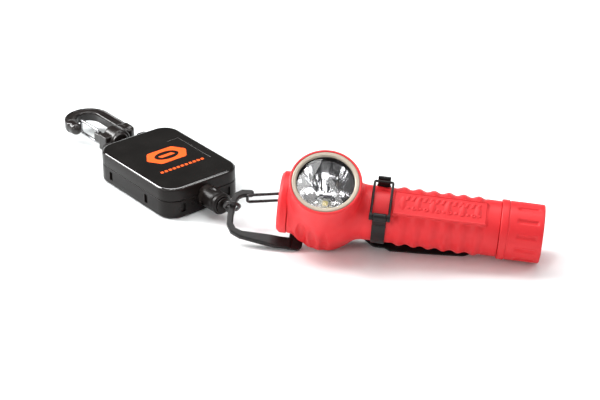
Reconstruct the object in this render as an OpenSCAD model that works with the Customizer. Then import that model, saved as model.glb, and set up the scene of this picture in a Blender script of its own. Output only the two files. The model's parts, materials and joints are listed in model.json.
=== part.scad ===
// Right-angle flashlight for firefighters, with a tether reel.
// The light lies on its side on a table, hooked to a cord reel by its D-shaped hook.
// Light frame: origin at the centre of the switch end, +X along the barrel to the tail, +Z out of the lens.
// Reel frame: origin under the middle of the case, +X out of the nozzle, +Z up from the table.

/* [Light] */
// Length of the light from switch end to tail
light_length = 137; // [134:0.5:140]
// Radius of the head around the lens
head_r = 18.8; // [18.4:0.1:19.4]
// Height of the bezel's front face above the barrel's axis
head_top = 27.5; // [27:0.5:29]
// Distance of the head's flat back below the barrel's axis
head_back = 18; // [17.5:0.5:19]
// Radius of the barrel over its grip ribs
rib_r = 15.4; // [15.2:0.1:15.8]
// Depth of the valleys between the ribs
rib_depth = 0.8; // [0.4:0.1:1]
// Number of grip ribs round the barrel
rib_count = 6; // [4:1:8]

/* [Clip] */
// Outer radius of the strap band round the neck
band_r = 15.4; // [15.2:0.1:15.8]
// Width of the strap band
band_w = 7.2; // [6.5:0.1:7.6]
// Thickness of the D hook's bar
hook_t = 3.2; // [3:0.1:3.6]
// Width of the D hook's bar
hook_w = 3.6; // [3.2:0.1:4]
// Radius of the bail's wire and the gates' wire
wire_r = 0.8; // [0.6:0.05:0.9]

/* [Reel] */
// Length of the reel's case
case_l = 70.5; // [68:0.5:74]
// Width of the reel's case
case_w = 50.3; // [48:0.5:54]
// Height of the reel's case
case_h = 18; // [17:0.5:20]
// Radius of the case's corners
case_corner = 10; // [8:0.5:12]
// Height of the seam between the lower case and the cover
seam_z = 10.2; // [10:0.1:10.6]
// Outer radius of the nozzle that guides the line
nozzle_r = 5.2; // [4.8:0.1:5.4]
// Radius of the line
line_r = 0.6; // [0.4:0.1:0.8]

/* [Placement] */
// Height of the light's origin above the table
light_z = 26.53; // [26.53:0.01:30]
// How far the lens is rolled towards the front
light_roll = 33.8; // [33.8:0.1:33.8]
// How far the switch end is raised above the tail
light_pitch = 4.7; // [4.7:0.1:4.7]
// Turn of the reel in plan
case_yaw = -44.7; // [-44.7:0.1:-44.7]

/* [Hidden] */
$fn = 96;

red = [0.90, 0.14, 0.13];
black = [0.07, 0.07, 0.08];
steel = [0.72, 0.73, 0.75];
brass = [0.80, 0.64, 0.30];
green = [0.10, 0.42, 0.20];
nylon = [0.85, 0.85, 0.82];
fibre = [0.15, 0.15, 0.16];

// Middle of the whole object's footprint, measured from the table point between light and reel
centre_x = -6.76;
centre_y = -1.5;
light_at = [-4.7 - centre_x, -51.9 - centre_y, light_z];
case_at = [-74.8 - centre_x, 8.7 - centre_y, 0];

// Light: head and bores
head_x = 23.7;
head_edge = 6;
bezel_r = 17.6;
bezel_seat_r = 17.7;
bezel_seat_z = 22.6;
cavity_r = 15.9;
cavity_floor = -13.6;
lens_r = 15.6;
lens_z = 24.4;
lens_t = 1.6;
aperture_r = 15.0;
dish_r = 14.9;
dish_z = -3;
dish_depth = 27.2;
dish_wall = 0.9;
bore_r = 12;
bore_x = 43.5;
switch_bore_r = 11.5;
body_start = 5.4;
collar_r = 16.2;
spigot_x = 114.6;
spigot_end = 124;
spigot_r = 13.4;
seal_groove_x = 117;
seal_groove_w = 1.4;
tube_wall_r = 11.9;
cell_r = 8.5;
cell_l = 34.5;
cell_x = 50;

// Tail
tail_r = 15.3;
tail_bore = 13.65;
contact_x = 126.6;

// Grip ribs
rib_start = 60;
rib_pitch = 7.75;
rib_end = rib_start + rib_count * rib_pitch;
panel_half = 6.8;
panel_z = 14.9;
mark_count = 13;
mark_pitch = 3.05;
mark_start = 66.2;
mark_rise = 0.35;

// Clip
neck_r = 14.4;
band_x = 53;
band_gap_low = 124;
band_gap_high = 38;
bail_z = 15.6;
knuckle_y = -10.2;
bail_reach = 20.8;
bail_half_w = 4.75;
clip_roll = 7;
plate_z = -18.95;
plate_t = 1.2;
plate_half = 8;
plate_x = 14;
hook_z = -19.2;
gate_pivot = [9.4, 18.4];
gate_tip = [-19, 12.2];
gate_half = 3.1;

// Hook and reel meeting points, in the light's frame
arm_x = -26;
arm_y = 7;

// Reel
wall = 2;
nozzle_end = 47.6;
collar_end = 51;
line_z = 9;
bead_u = 56.6;
bead_r = 2.2;
bead_hole_r = 1.5;
emblem_u = -2.4;
emblem_v = 0.7;
emblem_half_u = 7.6;
emblem_half_v = 13.2;
emblem_t = 0.4;
underline_u = 13.6;
spool_u = -7;
spool_v = 0;
spool_hub_r = 12.6;
spool_r = 20.6;
wound_r = 17.2;
lead_end = 30;
plug_start = 48.4;
screw_u = 29.4;
screw_v = 19.3;
axle_r = 3;
pivot_u = -41.6;
post_end = -53;
hook_arc_u = -81.5;
hook_arc_r = 10.5;
hook_half_w = 3.3;
hook_half_t = 3;
snap_pivot_u = -61.2;
snap_gate_v = -6;
snap_tip_u = -79.4;
snap_half = 3.9;

// Turn a vector of the light's frame into the table frame
function roll_y() = [sin(light_pitch) * sin(light_roll), cos(light_roll), cos(light_pitch) * sin(light_roll)];
function roll_z() = [sin(light_pitch) * cos(light_roll), -sin(light_roll), cos(light_pitch) * cos(light_roll)];
function roll_x() = [cos(light_pitch), 0, -sin(light_pitch)];
function from_light(p) = light_at + p.x * roll_x() + p.y * roll_y() + p.z * roll_z();
function from_case(p) = case_at + [
    p.x * cos(case_yaw) - p.y * sin(case_yaw),
    p.x * sin(case_yaw) + p.y * cos(case_yaw),
    p.z
];
function unit(v) = v / norm(v);

arm_point = from_light([
    arm_x,
    arm_y * cos(clip_roll) + hook_z * sin(clip_roll),
    hook_z * cos(clip_roll) - arm_y * sin(clip_roll)
]);
arm_dir = cos(clip_roll) * roll_y() - sin(clip_roll) * roll_z();
bead_point = from_case([bead_u, 0, line_z]);
ring_dir = unit(arm_point - bead_point);
ring_len = norm(arm_point - bead_point) + 3.6;
ring_normal = unit(arm_dir - (arm_dir * ring_dir) * ring_dir);
ring_bend = 3.6;
ring_wire = 0.9;

module in_light() {
    translate(light_at) rotate([light_roll, light_pitch, 0]) children();
}

// The clip and its hook are turned a little round the barrel
module in_clip() {
    in_light() rotate([-clip_roll, 0, 0]) children();
}

module in_case() {
    translate(case_at) rotate([0, 0, case_yaw]) children();
}

// Stand children with their z axis along z_dir and their x axis along x_dir
module aligned(at, x_dir, z_dir) {
    y_dir = cross(z_dir, x_dir);
    multmatrix([
        [x_dir.x, y_dir.x, z_dir.x, at.x],
        [x_dir.y, y_dir.y, z_dir.y, at.y],
        [x_dir.z, y_dir.z, z_dir.z, at.z],
        [0, 0, 0, 1]
    ]) children();
}

module rod(a, b, r) {
    d = b - a;
    translate(a) rotate([0, acos(d.z / norm(d)), atan2(d.y, d.x)]) cylinder(h = norm(d), r = r);
}

// A cylinder or tube along x from x0 to x1
module x_disc(x0, x1, r, hole = 0) {
    translate([x0, 0, 0]) rotate([0, 90, 0]) difference() {
        cylinder(h = x1 - x0, r = r);
        if (hole > 0) translate([0, 0, -1]) cylinder(h = x1 - x0 + 2, r = hole);
    }
}

// A cylinder or tube along z from z0 to z1
module z_disc(z0, z1, r, hole = 0) {
    translate([0, 0, z0]) difference() {
        cylinder(h = z1 - z0, r = r);
        if (hole > 0) translate([0, 0, -1]) cylinder(h = z1 - z0 + 2, r = hole);
    }
}

// A closed rectangular loop of wire between the points a and b, with its bars along z
module wire_loop(a, b, z0, half, r) {
    low = z0 - half;
    high = z0 + half;
    corners = [[a.x, a.y, low], [b.x, b.y, low], [b.x, b.y, high], [a.x, a.y, high]];
    for (i = [0:3]) {
        rod(corners[i], corners[(i + 1) % 4], r);
        translate(corners[i]) sphere(r = r * 1.03);
    }
}

module rounded_block(l, w, h, r) {
    translate([-l / 2 + r, -w / 2, 0]) cube([l - 2 * r, w, h]);
    translate([-l / 2, -w / 2 + r, 0]) cube([l, w - 2 * r, h]);
    for (sx = [-1, 1], sy = [-1, 1]) {
        translate([sx * (l / 2 - r), sy * (w / 2 - r), 0]) cylinder(h = h, r = r);
    }
}

// ---- Light: shell ----

function ease(a, b, t) = a + (b - a) * (1 - cos(180 * t)) / 2;
function body_profile() = [
    [15.7, body_start], [15.9, 6], [15.9, 8],
    for (i = [1:4]) [ease(15.9, 17.4, i / 4), 8 + i],
    [17.4, 33],
    for (i = [1:8]) [ease(17.4, neck_r, i / 8), 33 + i * 1.5],
    [neck_r, 57.2],
    for (i = [1:3]) [ease(neck_r, rib_r - rib_depth, i / 3), 57.2 + i * 0.9]
];
function rib_profile() = [
    for (n = [0:rib_count - 1], i = [1:6])
        [rib_r - rib_depth * (1 + cos(60 * i)) / 2, rib_start + (n + i / 6) * rib_pitch]
];

module revolve_x(points) {
    rotate([0, 90, 0]) rotate_extrude() polygon(points);
}

module head_solid() {
    translate([head_x, 0, 0]) rotate_extrude() union() {
        translate([0, -head_back]) square([head_r - head_edge, 2 * head_edge]);
        translate([0, head_edge - head_back]) square([head_r, head_top + head_back - head_edge]);
        translate([head_r - head_edge, head_edge - head_back]) circle(r = head_edge);
    }
}

module head_flutes() {
    for (side = [-1, 1], i = [0:3]) {
        turn = side * (112 + 15 * i);
        translate([head_x + (head_r + 2.1) * cos(turn), (head_r + 2.1) * sin(turn), -head_back - 1])
            cylinder(h = 14, r = 2.9);
    }
}

module barrel_solid() {
    revolve_x(concat(
        [[0, body_start]], body_profile(), rib_profile(),
        [[14.5, rib_end + 0.6], [14.5, spigot_x], [spigot_r, spigot_x], [spigot_r, spigot_end], [0, spigot_end]]
    ));
    translate([rib_start - 1, -panel_half, 8]) cube([rib_end - rib_start + 2, 2 * panel_half, panel_z - 8]);
}

// Two rows of raised grip marks on the flat panel
module panel_marks() {
    for (i = [0:mark_count - 1]) translate([mark_start + i * mark_pitch, 0, panel_z - 0.3]) {
        translate([-0.5, 1.7, 0]) cube([1, 2.8, mark_rise + 0.3]);
        translate([0.8, -2.3, 0]) cylinder(h = mark_rise + 0.3, r = 1);
    }
}

module housing() {
    color(red) in_light() difference() {
        union() {
            difference() {
                head_solid();
                head_flutes();
            }
            barrel_solid();
            panel_marks();
        }
        translate([head_x, 0, cavity_floor]) cylinder(h = 60, r = cavity_r);
        translate([head_x, 0, bezel_seat_z]) cylinder(h = 20, r = bezel_seat_r);
        x_disc(-1, body_start - 0.15, collar_r + 0.1);
        x_disc(0, 12, switch_bore_r);
        x_disc(30, bore_x + 1, 5);
        x_disc(bore_x, light_length, bore_r);
        x_disc(seal_groove_x, seal_groove_x + seal_groove_w, spigot_r + 2, spigot_r - 0.7);
    }
}

module switch_collar() {
    color(red) in_light() difference() {
        union() {
            x_disc(0.8, 5.2, collar_r);
            x_disc(0, 0.8, collar_r - 0.8);
            x_disc(5.2, 9, 11.4);
        }
        x_disc(-1, 12, 9);
    }
}

module switch_seal() {
    color(black) in_light() x_disc(9.05, 10.05, 11.4, 9.4);
}

module switch_module() {
    color(black) in_light() {
        x_disc(7.8, 10.6, 8.4);
        translate([10.6, -4, -3]) cube([3, 8, 6]);
    }
}

module button_boot() {
    color(red) in_light() {
        x_disc(1.2, 4.2, 8.6);
        x_disc(0.6, 1.2, 7.4);
    }
}

module button_plunger() {
    color(steel) in_light() x_disc(4.2, 6.2, 3);
}

module bezel_ring() {
    color([0.74, 0.68, 0.58]) in_light() translate([head_x, 0, 0]) difference() {
        z_disc(26.1, head_top, bezel_r, aperture_r);
        translate([0, 0, head_top - 0.7]) cylinder(h = 0.71, r1 = aperture_r, r2 = aperture_r + 0.7);
    }
}

module lens_gasket() {
    color(black) in_light() translate([head_x, 0, 0]) difference() {
        z_disc(bezel_seat_z, 26.05, 17.5, lens_r + 0.05);
        z_disc(bezel_seat_z - 1, lens_z - 0.1, dish_r + dish_wall + 0.1);
    }
}

module lens() {
    color([0.85, 0.92, 0.97, 0.35]) in_light() translate([head_x, 0, 0])
        z_disc(lens_z, lens_z + lens_t, lens_r);
}

function dish(z) = dish_r * sqrt((z + 0.9) / (dish_depth + 0.9));
module reflector() {
    inner = [for (i = [0:10]) [dish(dish_depth * i / 10), dish_depth * i / 10]];
    outer = [for (i = [10:-1:0]) [dish(dish_depth * i / 10) + dish_wall, dish_depth * i / 10]];
    color([0.9, 0.9, 0.92]) in_light() translate([head_x, 0, dish_z])
        rotate_extrude() polygon(concat(inner, outer));
}

module led_emitter() {
    color([0.95, 0.9, 0.5]) in_light() translate([head_x, 0, -4.9]) {
        translate([-1.7, -1.7, 0]) cube([3.4, 3.4, 1.4]);
        intersection() {
            translate([0, 0, 1.2]) sphere(r = 1.5);
            translate([-2, -2, 1.4]) cube(4);
        }
    }
}

module led_board() {
    color(green) in_light() translate([head_x, 0, 0]) z_disc(-6.5, -4.9, 8);
}

module heat_sink() {
    color(steel) in_light() translate([head_x, 0, 0]) difference() {
        z_disc(cavity_floor, -6.5, 9);
        for (z = [-12.4:1.8:-7.5]) z_disc(z, z + 0.8, 10, 6);
    }
}

module driver_board() {
    color(green) in_light() {
        x_disc(44, 45.4, 8.6);
        translate([42.4, -2.5, -2]) cube([1.6, 5, 4]);
    }
}

module front_contact() {
    color(brass) in_light() {
        x_disc(45.4, 46.2, 4);
        x_disc(46.2, cell_x, 1.6);
    }
}

module battery_tube() {
    color(steel) in_light() x_disc(46.4, 122, tube_wall_r, cell_r + 0.3);
}

module cell(x) {
    x_disc(x, x + cell_l - 1.6, cell_r);
    x_disc(x + cell_l - 1.6, x + cell_l, 3);
}

module cell_front() {
    color([0.20, 0.22, 0.26]) in_light() cell(cell_x);
}

module cell_rear() {
    color([0.24, 0.26, 0.30]) in_light() cell(cell_x + cell_l);
}

module tail_o_ring() {
    color(black) in_light() translate([seal_groove_x, 0, 0])
        x_disc(0.2, seal_groove_w - 0.2, spigot_r + 0.12, spigot_r - 0.7);
}

// ---- Tail ----

module tail_contact() {
    color(brass) in_light() {
        x_disc(contact_x, contact_x + 1, 10.5);
        x_disc(contact_x + 1, contact_x + 3, 4);
    }
}

module tail_spring() {
    color(steel) in_light() for (i = [0:4]) {
        translate([cell_x + 2 * cell_l + 0.8 + i * 1.35, 0, 0]) rotate([0, 90, 0]) rotate_extrude()
            translate([3.4 + 0.35 * i, 0]) circle(r = 0.5, $fn = 24);
    }
    color(steel) in_light() x_disc(cell_x + 2 * cell_l + 0.2, contact_x, 1.1);
}

module tailcap() {
    color(red) in_light() difference() {
        union() {
            x_disc(spigot_x + 0.2, 118.6, 15.6);
            x_disc(118.6, light_length - 1, tail_r);
            x_disc(light_length - 1, light_length, tail_r - 1);
        }
        x_disc(spigot_x - 1, 129.8, tail_bore);
        for (i = [0:11]) rotate([i * 30 + 8, 0, 0]) translate([124, 0, tail_r + 1.6])
            rotate([0, 90, 0]) cylinder(h = 9, r = 2.4);
    }
}

// ---- Clip, strap and D hook ----

// A ring segment round the x axis, open between two angles measured from +y towards +z
module strap_band() {
    color(black) in_light() difference() {
        x_disc(band_x - band_w / 2, band_x + band_w / 2, band_r, neck_r + 0.1);
        translate([band_x, 0, 0]) rotate([0, 90, 0]) linear_extrude(height = band_w + 2, center = true)
            polygon([[0, 0], [-40 * sin(band_gap_high), 40 * cos(band_gap_high)], [-60, 0],
                     [-40 * sin(band_gap_low), 40 * cos(band_gap_low)]]);
    }
}

module strap_knuckle() {
    color(black) in_light() difference() {
        union() {
            translate([band_x - 3.6, knuckle_y, bail_z]) rotate([0, 90, 0]) cylinder(h = 7.2, r = 2);
            translate([band_x - 3.6, knuckle_y - 2, 9.5]) cube([7.2, 3.2, 6]);
        }
        x_disc(40, 70, band_r);
        translate([40, knuckle_y, bail_z]) rotate([0, 90, 0]) cylinder(h = 30, r = wire_r + 0.06);
    }
}

module strap_catch() {
    color(black) in_light() difference() {
        translate([band_x, 0, 0]) rotate([90, 0, 90]) linear_extrude(height = 6.6, center = true)
            polygon([[11.9, 16.4], [13.2, 16.4], [15.2, 13.6], [15.2, 8], [10, 8], [10, 14.4], [11.9, 14.4]]);
        x_disc(40, 70, band_r);
    }
}

module bail_wire() {
    color(black) in_light() for (s = [-1, 1]) {
        x = band_x + s * bail_half_w;
        rod([x, knuckle_y, bail_z], [x, knuckle_y + bail_reach, bail_z], wire_r);
        for (y = [knuckle_y, knuckle_y + bail_reach]) {
            translate([x, y, bail_z]) sphere(r = wire_r * 1.03);
            rod([band_x, y, bail_z], [x, y, bail_z], wire_r);
        }
    }
}

module bar(a, b, w, z0, t) {
    d = b - a;
    translate([a.x, a.y, z0]) rotate([0, 0, atan2(d.y, d.x)]) translate([0, -w / 2, 0]) cube([norm(d), w, t]);
}

function hook_path() = [
    [7, -13.6], [-19, -11.2], [-23.4, -8.6], [-25.8, -4.6], [-26.3, 0], [-25.7, 10.6], [-24.2, 13.6], [-21.6, 15.4],
    [-17.8, 15.8]
];

module d_hook() {
    z0 = hook_z - hook_t / 2;
    path = hook_path();
    last = len(path) - 1;
    color(black) in_clip() difference() {
        union() {
            for (i = [0:last - 1]) bar(path[i], path[i + 1], hook_w, z0, hook_t);
            for (i = [1:last]) translate([path[i].x, path[i].y, z0])
                cylinder(h = hook_t, r = hook_w / 2 * 1.01);
            translate([0, -16.4, z0]) cube([8, 6, hook_t - 1.4]);
            translate([7, -16.4, plate_z - plate_t]) cube([plate_x - 7, 37.2, plate_t]);
            translate([gate_pivot.x - 2.2, gate_pivot.y - 2.4, hook_z - 2.1]) cube([4.4, 4.8, 4.2]);
        }
        translate([gate_pivot.x, gate_pivot.y, hook_z - 5]) cylinder(h = 10, r = wire_r + 0.06);
    }
}

module hook_gate() {
    color(black) in_clip() wire_loop(gate_pivot, gate_tip, hook_z, gate_half, wire_r);
}

// Block that carries the clip on the strap band
module clip_saddle() {
    color(black) in_clip() difference() {
        translate([band_x - band_w / 2, -6, plate_z]) cube([band_w, 12, 5]);
        x_disc(40, 70, band_r);
    }
}

// Pocket clip: a sheet under the head, and an arm that runs along the barrel to its tip
module clip_arm() {
    color(black) difference() {
        in_clip() translate([0, plate_half, 0]) rotate([90, 0, 0]) linear_extrude(height = 2 * plate_half)
            polygon([
                [plate_x + 0.02, plate_z - plate_t], [plate_x + 0.02, plate_z], [58.6, plate_z], [96, -15.7],
                [104, -15.6], [104, -16], [96, -16.85], [58, plate_z - plate_t]
            ]);
        in_light() translate([0, -20, -head_back - 0.03]) cube([head_x + head_r + 1, 40, 10]);
    }
}

module clip_rivets() {
    color(steel) in_clip() for (y = [-4, 4]) {
        translate([band_x, y, plate_z - plate_t - 0.6]) cylinder(h = 0.6, r = 1.6);
    }
}

// ---- Tether ----

module tether_ring() {
    straight = ring_len - ring_bend;
    color(steel) aligned(bead_point, ring_dir, ring_normal) {
        for (s = [-1, 1]) {
            rod([ring_bend, s * ring_bend, 0], [straight, s * ring_bend, 0], ring_wire);
        }
        translate([ring_bend, 0, 0]) rotate([0, 0, 90]) rotate_extrude(angle = 180)
            translate([ring_bend, 0]) circle(r = ring_wire, $fn = 48);
        translate([straight, 0, 0]) rotate([0, 0, -90]) rotate_extrude(angle = 180)
            translate([ring_bend, 0]) circle(r = ring_wire, $fn = 48);
    }
}

module swivel_bead() {
    color(black) difference() {
        in_case() translate([bead_u, 0, line_z]) rotate([0, 90, 0]) rotate_extrude() intersection() {
            union() {
                circle(r = bead_r);
                translate([0, -4.3]) square([1.3, 3]);
            }
            translate([0, -6]) square([6, 12]);
        }
        aligned(bead_point, ring_dir, ring_normal) translate([0, -5, 0])
            rotate([-90, 0, 0]) cylinder(h = 10, r = bead_hole_r);
    }
}

module line_plug() {
    color(black) in_case() translate([0, 0, line_z]) rotate([0, 90, 0]) difference() {
        union() {
            translate([0, 0, plug_start]) cylinder(h = 3, r = 2.8);
            translate([0, 0, 51.05]) cylinder(h = 1.5, r = 4.4);
        }
        translate([0, 0, 52.2]) cylinder(h = 1, r = 1.36);
    }
}

module line_out() {
    color(fibre) in_case() rod([lead_end + 0.6, 0, line_z], [plug_start, 0, line_z], line_r);
}

// ---- Reel ----

module snap_notches() {
    for (s = [-1, 1], u = [-20, 14]) translate([u - 1.4, s * case_w / 2 - 1, 3.4]) cube([2.8, 2, 5]);
    translate([case_l / 2 - 1, -16.4, 3.4]) cube([2, 2.8, 5]);
    translate([case_l / 2 - 1, 13.6, 3.4]) cube([2, 2.8, 5]);
}

module case_inside(h) {
    rounded_block(case_l - 2 * wall, case_w - 2 * wall, h, case_corner - wall);
}

module lower_case() {
    color(black) in_case() difference() {
        union() {
            difference() {
                rounded_block(case_l, case_w, seam_z, case_corner);
                translate([0, 0, wall]) case_inside(case_h);
            }
            for (s = [-1, 1], t = [-1, 1]) translate([s * screw_u, t * screw_v, 1])
                cylinder(h = seam_z - 1, r = 2.6);
        }
        snap_notches();
        translate([30, 0, line_z]) rotate([0, 90, 0]) cylinder(h = 10, r = 2.4);
        translate([spool_u, spool_v, -1]) cylinder(h = 5, r = axle_r);
        for (s = [-1, 1], t = [-1, 1]) translate([s * screw_u, t * screw_v, -1]) cylinder(h = 20, r = 1.2);
    }
}

module top_cover() {
    color(black) in_case() difference() {
        union() {
            translate([0, 0, seam_z + 0.05])
                rounded_block(case_l, case_w, case_h - seam_z - 1.05, case_corner);
            translate([0, 0, case_h - 1]) rounded_block(case_l - 1.6, case_w - 1.6, 1, case_corner - 0.8);
        }
        difference() {
            case_inside(case_h - wall);
            for (s = [-1, 1], t = [-1, 1]) translate([s * screw_u, t * screw_v, 1]) cylinder(h = 20, r = 2.6);
        }
        for (s = [-1, 1], t = [-1, 1]) translate([s * screw_u, t * screw_v, -1]) cylinder(h = 15, r = 1.2);
        translate([30, 0, line_z]) rotate([0, 90, 0]) cylinder(h = 10, r = 2.4);
        translate([0, 0, case_h - emblem_t]) emblem_outline(0.05, 2);
    }
}

// A plain six-sided badge over a bar
module emblem_outline(grow, h) {
    translate([emblem_u, emblem_v, 0]) linear_extrude(height = h) polygon([
        for (k = [[-1, -0.6], [0, -1], [1, -0.6], [1, 0.6], [0, 1], [-1, 0.6]])
            [k.x * (emblem_half_u + grow), k.y * (emblem_half_v + grow)]
    ]);
    translate([underline_u - 1 - grow, -14.5 - grow, 0]) cube([2 + 2 * grow, 29 + 2 * grow, h]);
}

module emblem_plate() {
    color([0.95, 0.36, 0.10]) in_case() difference() {
        translate([0, 0, case_h - emblem_t]) emblem_outline(0, emblem_t);
        translate([emblem_u, emblem_v, case_h - 1]) cylinder(h = 2, r = 4.4);
    }
}

module nozzle() {
    color(black) in_case() difference() {
        union() {
            translate([case_l / 2 + 0.05, 0, line_z]) rotate([0, 90, 0])
                cylinder(h = nozzle_end - case_l / 2 - 0.05, r = nozzle_r);
        }
        translate([30, 0, line_z]) rotate([0, 90, 0]) cylinder(h = 30, r = 2.4);
        translate([40, -0.9, line_z + 4.2]) cube([4, 1.8, 3]);
    }
}

module nozzle_collar() {
    color(black) in_case() translate([nozzle_end + 0.02, 0, line_z]) rotate([0, 90, 0]) difference() {
        union() {
            cylinder(h = 2.6, r = 5.7);
            cylinder(h = collar_end - nozzle_end - 0.02, r = 5);
        }
        translate([0, 0, -1]) cylinder(h = 8, r = 3.1);
    }
}

module spool_axle() {
    color(steel) in_case() translate([spool_u, spool_v, 0]) {
        z_disc(0.6, 15.9, axle_r);
    }
}

module case_screws() {
    color(steel) in_case() for (s = [-1, 1], t = [-1, 1]) translate([s * screw_u, t * screw_v, 0]) {
        z_disc(0.2, 13.6, 1.2);
    }
}

module spool() {
    color(nylon) in_case() translate([spool_u, spool_v, 0]) difference() {
        union() {
            z_disc(2.6, 3.8, spool_r);
            z_disc(3.8, 11, spool_hub_r);
        }
        z_disc(0, 20, axle_r + 0.06);
        z_disc(5, 12, spool_hub_r - 1.2);
    }
}

module spool_flange() {
    color(nylon) in_case() translate([spool_u, spool_v, 0]) z_disc(11, 12, spool_r, axle_r + 2);
}

module wound_line() {
    color(fibre) in_case() translate([spool_u, spool_v, 0])
        z_disc(3.85, 10.95, wound_r, spool_hub_r);
}

module power_spring() {
    color(steel) in_case() translate([spool_u, spool_v, 0]) for (i = [0:4]) {
        z_disc(12.6, 15.6, 7.6 + 2.4 * i, 7 + 2.4 * i);
    }
}

module line_lead() {
    lead_r = wound_r + line_r;
    turn = acos(lead_r / (lead_end - spool_u));
    leaves = [spool_u + lead_r * cos(turn), lead_r * sin(turn), line_z];
    color(fibre) in_case() rod(leaves, [lead_end, 0, line_z], line_r);
}

// ---- Snap hook ----

module hook_bracket() {
    color(black) in_case() difference() {
        union() {
            translate([-case_l / 2 - 2.05, -14, 2.4]) cube([2, 28, 12.4]);
            for (s = [-1, 1]) translate([-case_l / 2 - 11.05, s * 11.7 - 2.2, 3]) cube([9, 4.4, 12]);
        }
        translate([pivot_u, -20, line_z]) rotate([-90, 0, 0]) cylinder(h = 40, r = 1.5);
    }
}

module bracket_pin() {
    color(steel) in_case() translate([pivot_u, -13.8, line_z]) rotate([-90, 0, 0]) cylinder(h = 27.6, r = 1.5);
}

module swivel_eye() {
    color(black) in_case() difference() {
        union() {
            translate([pivot_u, -9.1, line_z]) rotate([-90, 0, 0]) cylinder(h = 18.2, r = 4);
            translate([post_end, 0, line_z]) rotate([0, 90, 0]) cylinder(h = pivot_u - post_end, r = 2.4);
            translate([post_end, 0, line_z]) rotate([0, 90, 0]) cylinder(h = 1.8, r = 3.8);
        }
        translate([pivot_u, -20, line_z]) rotate([-90, 0, 0]) cylinder(h = 40, r = 1.56);
    }
}

module snap_hook() {
    color(black) in_case() difference() {
        union() {
            translate([-57.4, -8.4, line_z - 6.4]) cube([9.6, 16.8, 12.8]);
            translate([-50, 0, line_z]) rotate([0, 90, 0]) cylinder(h = 3, r = 6);
            translate([hook_arc_u, hook_arc_r - hook_half_w, line_z - hook_half_t])
                cube([-50 - hook_arc_u, 2 * hook_half_w, 2 * hook_half_t]);
            translate([hook_arc_u, 0, line_z - hook_half_t]) rotate([0, 0, 90]) rotate_extrude(angle = 180)
                translate([hook_arc_r - hook_half_w, 0]) square([2 * hook_half_w, 2 * hook_half_t]);
            translate([hook_arc_u, -hook_arc_r - hook_half_w, line_z - hook_half_t])
                cube([3.4, 2 * hook_half_w, 2 * hook_half_t]);
            translate([hook_arc_u + 3.4, -hook_arc_r, line_z - hook_half_t])
                cylinder(h = 2 * hook_half_t, r = hook_half_w * 0.995);
            translate([snap_pivot_u - 2, snap_gate_v - 2, line_z - 2.8]) cube([6, 4, 5.6]);
        }
        translate([-60, 0, line_z]) rotate([0, 90, 0]) cylinder(h = 20, r = 2.46);
        translate([post_end - 0.3, 0, line_z]) rotate([0, 90, 0]) cylinder(h = 2.4, r = 4.1);
        translate([snap_pivot_u, snap_gate_v, 0]) cylinder(h = 20, r = wire_r + 0.06);
    }
}

module snap_gate() {
    color(steel) in_case()
        wire_loop([snap_pivot_u, snap_gate_v], [snap_tip_u, snap_gate_v], line_z, snap_half, wire_r);
}

housing();
switch_collar();
switch_seal();
switch_module();
driver_board();
front_contact();
bezel_ring();
lens();
lens_gasket();
reflector();
led_emitter();
led_board();
heat_sink();
battery_tube();
cell_front();
cell_rear();
tail_o_ring();
strap_band();
strap_knuckle();
strap_catch();
clip_saddle();
clip_arm();
d_hook();
clip_rivets();
button_boot();
button_plunger();
tail_contact();
tail_spring();
tailcap();
bail_wire();
hook_gate();
tether_ring();
swivel_bead();
line_plug();
line_out();
lower_case();
top_cover();
emblem_plate();
nozzle();
nozzle_collar();
spool_axle();
case_screws();
power_spring();
line_lead();
spool();
spool_flange();
wound_line();
hook_bracket();
bracket_pin();
swivel_eye();
snap_hook();
snap_gate();
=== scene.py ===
"""Looks of a right-angle fire light that hangs on a retracting reel with a snap hook.

Lengths are millimetres in the frame of the light, its clip, the reel or the tether ring.
Each mesh is put into the row frame, in metres, as it is made."""

import itertools
import json
import math

import bpy
import numpy as np
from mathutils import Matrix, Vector


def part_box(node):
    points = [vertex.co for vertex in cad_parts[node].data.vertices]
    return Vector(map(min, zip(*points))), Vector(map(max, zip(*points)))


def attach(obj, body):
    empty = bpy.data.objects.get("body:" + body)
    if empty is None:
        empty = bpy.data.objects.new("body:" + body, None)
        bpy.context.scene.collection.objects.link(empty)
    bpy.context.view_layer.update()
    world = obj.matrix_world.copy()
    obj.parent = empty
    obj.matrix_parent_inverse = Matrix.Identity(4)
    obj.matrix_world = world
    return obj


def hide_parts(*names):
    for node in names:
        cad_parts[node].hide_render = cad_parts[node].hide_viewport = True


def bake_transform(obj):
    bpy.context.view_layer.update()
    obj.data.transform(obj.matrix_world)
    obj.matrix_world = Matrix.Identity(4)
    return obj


MM = 0.001
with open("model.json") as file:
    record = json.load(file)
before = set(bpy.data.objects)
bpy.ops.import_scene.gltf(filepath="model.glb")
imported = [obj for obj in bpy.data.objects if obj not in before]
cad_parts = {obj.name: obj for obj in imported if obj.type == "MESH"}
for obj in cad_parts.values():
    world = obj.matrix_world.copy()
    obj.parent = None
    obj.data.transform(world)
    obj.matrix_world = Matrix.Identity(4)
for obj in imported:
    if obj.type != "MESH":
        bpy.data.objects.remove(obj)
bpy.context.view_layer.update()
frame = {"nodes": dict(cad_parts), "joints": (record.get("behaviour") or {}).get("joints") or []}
joints = {j["name"]: j for j in frame["joints"]}

# ---- Places, from the frame's joints and boxes ----

LIGHT_ROLL = math.radians(33.8)
LIGHT_PITCH = math.radians(4.7)
CLIP_ROLL = math.radians(7)
CAP_PIVOT_X = 120


def unit(v):
    v = np.asarray(v, float)
    return v / np.linalg.norm(v)


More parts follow.
